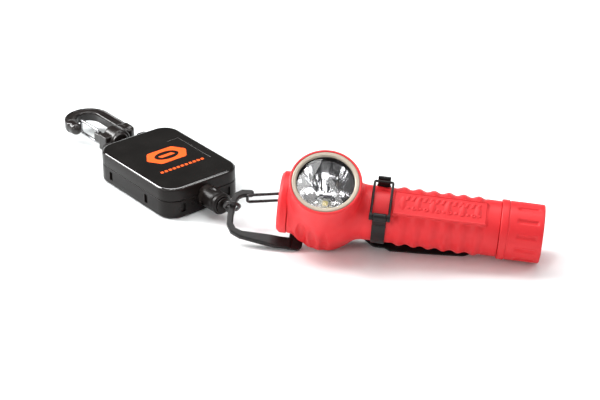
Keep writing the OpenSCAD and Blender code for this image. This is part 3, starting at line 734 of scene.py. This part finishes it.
def make_clip():
    xs = np.concatenate([np.linspace(14.05, 58, 45), np.linspace(60, 96, 14), np.linspace(97, 104, 12)])
    mid = np.interp(xs, [14, 58, 96, 104], [PLATE_Z - 0.6, PLATE_Z - 0.6, -16.28, -15.8])
    thick = np.interp(xs, [14, 58, 96, 104], [PLATE_T, PLATE_T, 1.15, 0.5])
    half = 3.6 + 4.4 * smooth((xs - 44) / 8) + 4.4 * smooth((20 - xs) / 6)
    half += 1.6 * smooth((xs - 57) / 3) - 0.6 * smooth((xs - 80) / 24)
    tip = np.clip((xs - 97) / 7, 0, 1)
    half = half * np.sqrt(np.maximum(1 - 0.85 * tip**2, 0.1))
    sections = [oblong(2 * w, t, t * 0.45) for w, t in zip(half, thick)]
    path = np.c_[xs, np.zeros(len(xs)), mid]
    make("pocket_clip", sweep(path, sections), CLIP, black_steel, "light", ["clip_arm"])

    def saddle(x, y, z):
        solid = block(x, y, z, (BAND_X - 3.6, -6, PLATE_Z), (BAND_X + 3.6, 6, PLATE_Z + 5), 0.5)
        return cut(solid, BAND_R - np.hypot(y, z))

    shape = surface(saddle, (BAND_X - 3.6, -6, PLATE_Z), (BAND_X + 3.6, 6, PLATE_Z + 5), 0.4)
    make("clip_block", shape, CLIP, black_steel, "light", ["clip_saddle"])
    spine = [
        (6.5, -12.9), (0, -12.9), (-19, -11.3), (-23.4, -9.4), (-25.7, -5.6), (-26.2, 0), (-25.7, 10.4),
        (-24.4, 13.2), (-21.9, 15.0), (-17.6, 15.7)
    ]
    widths = [3.5, 3.4, 2.0, 1.75, 1.7, 1.7, 1.7, 1.75, 1.9, 1.6]

    def hook(x, y, z):
        bar = along(x, y, spine, widths)
        half = HOOK_T / 2 - 0.7 * smooth((x + 4) / 8) * (x < 9)
        solid = cut(cut(bar, x - 8, 0.5), abs(z - HOOK_Z) - half, 0.7)
        flat = block(x, y, 0, (2, -16.4, -9), (14, 20.8, 9), 3.4)
        plate = cut(cut(flat, 6.5 - x, 0.4), abs(z - PLATE_Z + PLATE_T / 2) - PLATE_T / 2, 0.4)
        tongue = block(
            x, y, z, (GATE_PIVOT[0] - 2.2, GATE_PIVOT[1] - 2.4, HOOK_Z - 2.1),
            (GATE_PIVOT[0] + 2.2, GATE_PIVOT[1] + 2.4, HOOK_Z + 2.1), 0.6
        )
        solid = join(join(solid, plate, 0.6), tongue, 0.3)
        return cut(solid, WIRE_R + 0.08 - np.hypot(x - GATE_PIVOT[0], y - GATE_PIVOT[1]), 0.1)

    shape = surface(hook, (-28.2, -16.4, HOOK_Z - 2.1), (14, 20.9, HOOK_Z + 2.1), 0.34)
    make("clip_hook", shape, CLIP, black_steel, "light", ["d_hook"], sharp=50)
    axis = unit([GATE_TIP[0] - GATE_PIVOT[0], GATE_TIP[1] - GATE_PIVOT[1], 0])
    length = math.hypot(GATE_TIP[0] - GATE_PIVOT[0], GATE_TIP[1] - GATE_PIVOT[1])
    loop = rounded([
        (0, -GATE_HALF, 1), (length, -GATE_HALF, 1.6), (length, GATE_HALF, 1.6), (0, GATE_HALF, 1)
    ])
    path = [np.array([*GATE_PIVOT, HOOK_Z]) + a * axis + np.array([0, 0, b]) for a, b in loop]
    make("clip_gate_wire", sweep(path, circle(WIRE_R), up=np.cross(axis, (0, 0, 1)), closed=True), CLIP,
         dark_steel, "hook_gate", ["hook_gate"])


# ---- Light: tail cap ----

TAIL_R, CAP_START, LIGHT_LENGTH = 15.3, 114.8, 137


def make_tail():
    def grooves(h, t):
        turn = (np.degrees(t) - 8 + 15) % 30 - 15
        lane = 1 - smooth((abs(turn) - 2.2) / 3.2)
        run = smooth((h - 122.6) / 2.2) * smooth((134.6 - h) / 1.2)
        return -0.75 * lane * run

    outer = rounded([
        (13.65, CAP_START, 0), (15.3, CAP_START, 0), (15.6, CAP_START + 0.4, 0.3), (15.6, 118.4, 0.3),
        (15.15, 118.75, 0.2), (15.15, 119.1, 0.2), (TAIL_R, 119.5, 0.2), (TAIL_R, 122, 0)
    ], closed=False, steps=4)
    body = [(TAIL_R, h) for h in np.linspace(122.4, 135.2, 34)]
    end = rounded([
        (TAIL_R, 135.4, 0), (TAIL_R, 136.5, 0.5), (14.7, LIGHT_LENGTH, 0.4), (12.6, LIGHT_LENGTH, 0.3),
        (12.2, 136.5, 0.2), (9.6, 136.5, 0.2), (9.2, LIGHT_LENGTH - 0.1, 0.3), (0.01, LIGHT_LENGTH - 0.1, 0),
        (0.01, 129.8, 0), (13.65, 129.8, 0.3)
    ], steps=4)
    profile = [tuple(p) for p in outer] + body + [tuple(p) for p in end]
    shape = revolve(profile, axis="x", turns=240, ripple=grooves)
    make("tail_cap", shape, LIGHT, red_polymer, "tailcap", ["tailcap"])


# ---- Tether ----

RING_BEND, RING_WIRE, LINE_Z, BEAD_U, BEAD_R = 3.6, 0.9, 9, 56.6, 2.2
LINE = moved(REEL, z=LINE_Z)


def make_tether():
    straight = RING_LENGTH
    turns = np.linspace(90, 270, 20)
    near = [(RING_BEND + RING_BEND * math.cos(math.radians(t)), RING_BEND * math.sin(math.radians(t)), 0)
            for t in turns]
    far = [(straight - RING_BEND * math.cos(math.radians(t)), -RING_BEND * math.sin(math.radians(t)), 0)
           for t in turns]
    rise = np.linspace(0, 1, 10)[1:-1]
    one = [(RING_BEND + (straight - RING_BEND) * k, -RING_BEND, 0) for k in rise]
    two = [(straight - (straight - RING_BEND) * k, RING_BEND, 0) for k in rise]
    path = near + one + far + two
    make("tether_loop", sweep(path, circle(RING_WIRE, 16), closed=True), RING, dark_steel, "tether_ring",
         ["tether_ring"])
    bead = [(BEAD_R * math.sin(a), BEAD_U + BEAD_R * math.cos(a)) for a in np.linspace(0.05, 2.5, 22)]
    bead += [(1.3, BEAD_U - 2.5), (1.3, BEAD_U - 4.2), (0.01, BEAD_U - 4.3)]
    make("swivel_ball", revolve(bead, axis="x", turns=48), LINE, dark_steel, "swivel_bead",
         ["swivel_bead"])
    plug = rounded([
        (0.01, 48.4, 0), (2.8, 48.4, 0.3), (2.8, 51.05, 0.2), (4.0, 51.05, 0.2), (4.4, 51.4, 0.3),
        (4.4, 52.1, 0.4), (3.4, 52.55, 0.3), (1.4, 52.5, 0.1), (1.4, 52.2, 0), (0.01, 52.2, 0)
    ])
    make("line_stop", revolve(plug, axis="x", turns=64), LINE, case_black, "line_end",
         ["line_plug"])
    us = np.linspace(30.7, 48.4, 40)
    path = np.c_[us, 0 * us, 0 * us]
    twist = [0.6 + 0.05 * np.cos(3 * np.radians(np.arange(0, 360, 30)) + 2.4 * u) for u in us]
    ts = np.radians(np.arange(0, 360, 30))
    sections = [np.c_[w * np.cos(ts), w * np.sin(ts)] for w in twist]
    verts, faces = sweep(path, sections)
    mesh = bpy.data.meshes.new("pull_line")
    mesh.from_pydata((verts @ LINE[:3, :3].T + LINE[:3, 3]).tolist(), [], faces)
    mesh.materials.append(line_fibre)
    mesh.shade_smooth()
    line = bpy.data.objects.new("pull_line", mesh)
    bpy.context.scene.collection.objects.link(line)
    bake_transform(line)
    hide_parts("line_out")


# ---- Reel ----

CASE_L, CASE_W, CASE_H, CASE_CORNER, SEAM_Z, WALL = 70.5, 50.3, 18, 10, 10.2, 2
SCREW_U, SCREW_V = 29.4, 19.3
EMBLEM_U, EMBLEM_V, BADGE_U, BADGE_V, UNDERLINE_U = -2.4, 0.7, 7.9, 13.3, 13.6


def box_mesh(lo, hi):
    return skin([np.array([(lo[0], lo[1], z), (hi[0], lo[1], z), (hi[0], hi[1], z), (lo[0], hi[1], z)])
                 for z in (lo[2], hi[2])])


def carve(o, cutters, place):
    """Cuts boxes or other closed shapes out of a piece and keeps the result as its mesh."""
    for verts, faces in cutters:
        mesh = bpy.data.meshes.new("cutter")
        mesh.from_pydata((np.asarray(verts) @ place[:3, :3].T + place[:3, 3]).tolist(), [], faces)
        tool = bpy.data.objects.new("cutter", mesh)
        bpy.context.scene.collection.objects.link(tool)
        m = o.modifiers.new("cut", "BOOLEAN")
        m.object, m.solver = tool, "EXACT"
        evaluated = o.evaluated_get(bpy.context.evaluated_depsgraph_get())
        result = bpy.data.meshes.new_from_object(evaluated)
        o.modifiers.clear()
        o.data = result
        bpy.data.objects.remove(tool)
        bpy.data.meshes.remove(mesh)
    o.data.shade_smooth()
    o.data.set_sharp_from_angle(angle=math.radians(35))


def make_case():
    whole = oblong(CASE_L, CASE_W, CASE_CORNER, steps=10)
    inner = oblong(CASE_L - 2 * WALL, CASE_W - 2 * WALL, CASE_CORNER - WALL, steps=10)
    lower = make("reel_base", slab(whole, 0.0, SEAM_Z, 0.35, 1.4), REEL, case_black, "reel",
                 ["lower_case"])
    notches = [
        box_mesh((u - 1.4, s * CASE_W / 2 - 1, 3.4), (u + 1.4, s * CASE_W / 2 + 1, 8.4))
        for s in (-1, 1) for u in (-20, 14)
    ]
    notches += [box_mesh((CASE_L / 2 - 1, v, 3.4), (CASE_L / 2 + 1, v + 2.8, 8.4)) for v in (-16.4, 13.6)]
    pocket = skin([np.c_[inner, np.full(len(inner), z)] for z in (WALL, SEAM_Z + 1)])
    mouth = sweep([(CASE_L / 2 - 3, 0, LINE_Z), (CASE_L / 2 + 2, 0, LINE_Z)], circle(2.4, 32))
    screws = [
        skin([np.c_[circle(2.0, 24) + (s * SCREW_U, t * SCREW_V), np.full(24, z)] for z in (-1, 0.5)])
        for s in (-1, 1) for t in (-1, 1)
    ]
    carve(lower, notches + [pocket, mouth] + screws, REEL)
    cover = make("reel_cover", slab(whole, SEAM_Z + 0.3, CASE_H - 0.45, 0.9, 0.35), REEL, case_black, "reel",
                 ["top_cover"])
    make("cover_face", slab(inset(whole, 0.3), CASE_H - 1.8, CASE_H, 1.4, 0.1), REEL, cover_black, "reel")
    hollow = skin([np.c_[inner, np.full(len(inner), z)] for z in (SEAM_Z - 1, CASE_H - WALL)])
    carve(cover, [hollow, mouth], REEL)
    # These thin ridges carry the grey painted reflection of the label recess's edges.
    ridges = (("label_ridge_long", -16, 15, 18.2, 18.7), ("label_ridge_short", -16.5, -16, 11, 18.7))
    for name, u0, u1, v0, v1 in ridges:
        ridge = rounded([(u0, v0, 0.1), (u1, v0, 0.1), (u1, v1, 0.1), (u0, v1, 0.1)], steps=3)
        make(name, slab(ridge, CASE_H - 0.2, CASE_H + 0.05, 0.2, 0), REEL, painted_reflection_grey, "reel")


def make_emblem():
    """A plain six-sided badge with a bar in an oval window, over a row of slanted dashes."""
    corners = [(-0.95, -0.62), (0, -1), (0.95, -0.62), (0.95, 0.62), (0, 1), (-0.95, 0.62)]
    outer = rounded([(EMBLEM_U + a * BADGE_U, EMBLEM_V + b * BADGE_V, 2.2) for a, b in corners], steps=8)
    outer = evened(outer, 120)
    top, low = CASE_H + 0.05, CASE_H - 0.2
    n = len(outer)
    angles = np.arctan2((outer[:, 1] - EMBLEM_V) / BADGE_V, (outer[:, 0] - EMBLEM_U) / BADGE_U)
    window = np.c_[EMBLEM_U + 4.6 * np.cos(angles), EMBLEM_V + 7.6 * np.sin(angles)]
    rings = [np.c_[outer, np.full(n, low)], np.c_[outer, np.full(n, top)],
             np.c_[window, np.full(n, top)], np.c_[window, np.full(n, low)]]
    make("emblem_badge", skin(rings, wrap=True), REEL, emblem_orange, "reel",
         ["emblem_plate"], sharp=30)
    bar = rounded([
        (EMBLEM_U - 1.3, -4.6, 0.6), (EMBLEM_U + 1.3, -3.2, 0.6), (EMBLEM_U + 1.3, 6.0, 0.6),
        (EMBLEM_U - 1.3, 4.6, 0.6)
    ], steps=4)
    make("emblem_bar", slab(bar, low, top, 0.05), REEL, emblem_orange, "reel")
    for i in range(11):
        v = -13.6 + i * 2.7
        dash = rounded([
            (UNDERLINE_U - 1, v - 0.6, 0.2), (UNDERLINE_U + 1, v - 0.9, 0.2), (UNDERLINE_U + 1, v + 0.9, 0.2),
            (UNDERLINE_U - 1, v + 1.2, 0.2)
        ], steps=3)
        make(f"emblem_dash_{i + 1}", slab(dash, low, top, 0.05), REEL, emblem_orange, "reel")


def make_nozzle():
    def dent(h, t):
        turn = np.degrees(t) - 90
        mark = smooth((9 - abs(turn)) / 2.5) * smooth((h - 40) / 0.5) * smooth((44 - h) / 0.5)
        return -0.9 * mark

    outer = rounded([
        (2.4, 35.35, 0), (6.2, 35.35, 0.1), (6.0, 36.6, 0.4), (6.0, 39, 0)
    ], closed=False, steps=6)
    middle = [(6.0, h) for h in np.linspace(39.4, 45, 24)]
    end = rounded([(5.9, 46, 0), (5.7, 47.5, 0.5), (2.4, 47.5, 0.3), (2.4, 36, 0)], closed=False, steps=4)
    profile = [tuple(p) for p in outer] + middle + [tuple(p) for p in end]
    shape = revolve(profile, axis="x", turns=96, ripple=dent)
    make("reel_nozzle", shape, LINE, case_black, "reel", ["nozzle"])
    collar = rounded([
        (3.1, 47.65, 0.2), (5.6, 47.65, 0.3), (6.0, 48.0, 0.4), (6.0, 50.0, 0.5), (5.3, 50.4, 0.3),
        (5.0, 51.0, 0.4), (3.5, 51.0, 0.4), (3.1, 50.6, 0.3)
    ])
    make("nozzle_ring", revolve(collar, axis="x", turns=96), LINE, case_black, "reel",
         ["nozzle_collar"])


# ---- Snap hook ----

PIVOT_U, POST_END, LUG_V, LUG_R = -41.6, -53, 11.7, 4.7
ARC_U, ARC_R, ARM_HALF, ARM_THICK = -81.5, 10.5, 3.3, 3.0
SNAP_PIVOT, SNAP_TIP_U, SNAP_HALF = (-61.2, -6), -79.4, 3.9


def make_bracket():
    def field(x, y, z):
        back = -CASE_L / 2 - 2.05
        solid = block(x, y, z, (back, -14, 2.4), (back + 2, 14, 14.8), 0.6)
        for s in (-1, 1):
            low, high = (PIVOT_U, s * LUG_V - 3, LINE_Z - LUG_R), (back + 1, s * LUG_V + 3, LINE_Z + LUG_R)
            web = block(x, y, z, low, high, 0.2)
            eye = join(np.hypot(x - PIVOT_U, z - LINE_Z) - LUG_R, web, 0.3)
            lug = cut(eye, abs(y - s * LUG_V) - 2.2, 0.7)
            solid = join(solid, lug, 1.0)
        return cut(solid, 1.5 - np.hypot(x - PIVOT_U, z - LINE_Z))

    shape = surface(field, (-46.4, -14, 2.4), (-35, 14, 14.9), 0.36)
    make("hinge_bracket", shape, REEL, case_black, "reel", ["hook_bracket"])


def make_swivel():
    def field(x, y, z):
        barrel = cut(np.hypot(x - PIVOT_U, z - LINE_Z) - 4, abs(y) - 9.1, 0.8)
        middle, reach = (PIVOT_U + POST_END) / 2, (PIVOT_U - POST_END) / 2
        post = cut(np.hypot(y, z - LINE_Z) - 2.4, abs(x - middle) - reach)
        head = cut(np.hypot(y, z - LINE_Z) - 3.8, abs(x - POST_END - 0.9) - 0.9, 0.3)
        solid = join(join(barrel, post, 0.8), head, 0.2)
        return cut(solid, 1.56 - np.hypot(x - PIVOT_U, z - LINE_Z))

    shape = surface(field, (POST_END, -9.1, 4.9), (PIVOT_U + 4, 9.1, 13.1), 0.36)
    make("swivel_body", shape, REEL, case_black, "swivel_eye", ["swivel_eye"])


def make_snap_hook():
    arc = [(ARC_U + ARC_R * math.cos(t), ARC_R * math.sin(t)) for t in np.radians(np.linspace(90, 262, 19))]
    path = [(-55, ARC_R), *arc]
    nose = (ARC_U + 3.2, -ARC_R)

    def field(x, y, z):
        high = z - LINE_Z
        arm = cut(along(x, y, path, [ARM_HALF] * len(path)), abs(high) - ARM_THICK, 1.1)
        dip = cut(along(x, y, path[:-3], [ARM_HALF - 1.3] * len(path)), ARM_THICK - 0.5 - abs(high))
        arm = cut(arm, -dip, 0.3)
        tip = np.hypot(along(x, y, [arc[-1], nose], [0, 0]), high) - 3.5
        barrel = cut(np.hypot(y - 1.2, high) - 6.4, abs(x + 53.6) - 5.0, 1.2)
        lug = block(x, y, z, (-57.6, -8.4, LINE_Z - 5.6), (-50, -2, LINE_Z + 3.8), 0.6)
        collar = cut(np.hypot(y, high) - 5.2, abs(x + 48.2) - 1.2, 0.5)
        shoulder = block(x, y, z, (-62, 5.4, LINE_Z - 3.8), (-54, 13.6, LINE_Z + 3.8), 2.4)
        tongue = block(
            x, y, z, (SNAP_PIVOT[0] - 2, SNAP_PIVOT[1] - 2, LINE_Z - 2.8),
            (SNAP_PIVOT[0] + 6, SNAP_PIVOT[1] + 2, LINE_Z + 2.8), 0.7
        )
        solid = join(join(join(arm, shoulder, 2.0), barrel, 1.6), tip, 0.8)
        solid = join(join(join(solid, lug, 0.6), tongue, 0.6), collar, 0.8)
        post = cut(np.hypot(y, high) - 2.46, x + 40)
        pocket = cut(np.hypot(y, high) - 4.1, abs(x - POST_END - 0.9) - 1.2)
        solid = cut(cut(solid, -cut(post, -54.5 - x), 0.1), -pocket, 0.1)
        return cut(solid, WIRE_R + 0.08 - np.hypot(x - SNAP_PIVOT[0], y - SNAP_PIVOT[1]), 0.1)

    shape = surface(field, (ARC_U - 14, -14, LINE_Z - 6.4), (-46.9, 14, LINE_Z + 6.4), 0.36)
    make("snap_hook_body", shape, REEL, hook_black, "snap_hook", ["snap_hook"], sharp=50)
    length = SNAP_PIVOT[0] - SNAP_TIP_U
    loop = rounded([
        (0, -SNAP_HALF, 1), (-length, -SNAP_HALF, 1.6), (-length, SNAP_HALF, 1.6), (0, SNAP_HALF, 1)
    ])
    path = [(SNAP_PIVOT[0] + a, SNAP_PIVOT[1], LINE_Z + b) for a, b in loop]
    make("snap_gate_wire", sweep(path, circle(WIRE_R), up=(0, 1, 0), closed=True), REEL, bright_steel,
         "snap_gate", ["snap_gate"])


# ---- CAD pieces that show as they are, with their materials ----

CAD_FINISH = {
    "switch_seal": black_rubber, "switch_module": switch_plastic, "driver_board": board_green,
    "front_contact": brass, "led_board": board_green, "heat_sink": heat_sink_metal,
    "battery_tube": heat_sink_metal, "cell_front": cell_wrap, "cell_rear": cell_wrap,
    "tail_o_ring": black_rubber, "button_plunger": bright_steel, "tail_contact": brass,
    "tail_spring": bright_steel, "clip_rivets": bright_steel, "spool_axle": bright_steel,
    "case_screws": bright_steel, "power_spring": bright_steel, "line_lead": line_fibre, "spool": spool_nylon,
    "spool_flange": spool_nylon, "wound_line": line_fibre, "bracket_pin": bright_steel,
}


def finish_cad_nodes():
    for name, material in CAD_FINISH.items():
        mesh = frame["nodes"][name].data
        mesh.materials.clear()
        mesh.materials.append(material)


# ---- Studio ----

LIGHT_AIM = Vector((0, 0, 0.02))


def soft_light(name, place, size, power):
    data = bpy.data.lights.new(name, "AREA")
    data.shape, data.size, data.size_y, data.energy = "RECTANGLE", size[0], size[1], power
    o = bpy.data.objects.new(name, data)
    bpy.context.scene.collection.objects.link(o)
    o.location = place
    o.rotation_mode = "QUATERNION"
    o.rotation_quaternion = (LIGHT_AIM - Vector(place)).to_track_quat("-Z", "Y")


def make_studio():
    mesh = bpy.data.meshes.new("floor")
    mesh.from_pydata([(-40, -40, 0), (40, -40, 0), (40, 40, 0), (-40, 40, 0)], [], [(0, 1, 2, 3)])
    floor = bpy.data.objects.new("floor", mesh)
    bpy.context.scene.collection.objects.link(floor)
    m, shader, _, _ = new_material("floor")
    shader.inputs["Base Color"].default_value = (0.905, 0.935, 0.937, 1)
    shader.inputs["Roughness"].default_value = 0.9
    shader.inputs["Specular IOR Level"].default_value = 0.1
    mesh.materials.append(m)
    floor.location.z = -0.0002
    soft_light("top", (-0.10, 0.35, 1.15), (1.0, 0.6), 11)
    soft_light("left", (-0.98, 0.18, 0.66), (0.32, 0.75), 18)
    soft_light("right", (1.0, 0.05, 0.9), (0.25, 0.5), 3.5)
    soft_light("front", (-0.95, -1.0, 0.62), (0.5, 0.4), 4.5)
    soft_light("strip", (-0.16, -0.55, 1.0), (0.07, 1.4), 3.6)
    soft_light("glint", (0.30, -0.55, 1.0), (0.04, 1.2), 1.8)
    world = bpy.data.worlds.new("world")
    bpy.context.scene.world = world
    world.use_nodes = True
    nodes, links = world.node_tree.nodes, world.node_tree.links
    where = nodes.new("ShaderNodeTexCoord")
    split = nodes.new("ShaderNodeSeparateXYZ")
    ramp = nodes.new("ShaderNodeValToRGB")
    low, high = ramp.color_ramp.elements
    low.position, low.color = 0.1, (1, 1, 1, 1)
    high.position, high.color = 0.38, (0.06, 0.06, 0.062, 1)
    links.new(where.outputs["Generated"], split.inputs["Vector"])
    links.new(split.outputs["Z"], ramp.inputs["Fac"])
    links.new(ramp.outputs["Color"], nodes["Background"].inputs["Color"])
    nodes["Background"].inputs["Strength"].default_value = 0.9
    bpy.context.scene.view_settings.view_transform = "Standard"


make_housing()
make_grip_panel()
make_switch_end()
make_lamp()
make_strap()
make_clip()
make_tail()
make_tether()
make_case()
make_emblem()
make_nozzle()
make_bracket()
make_swivel()
make_snap_hook()
finish_cad_nodes()
make_studio()
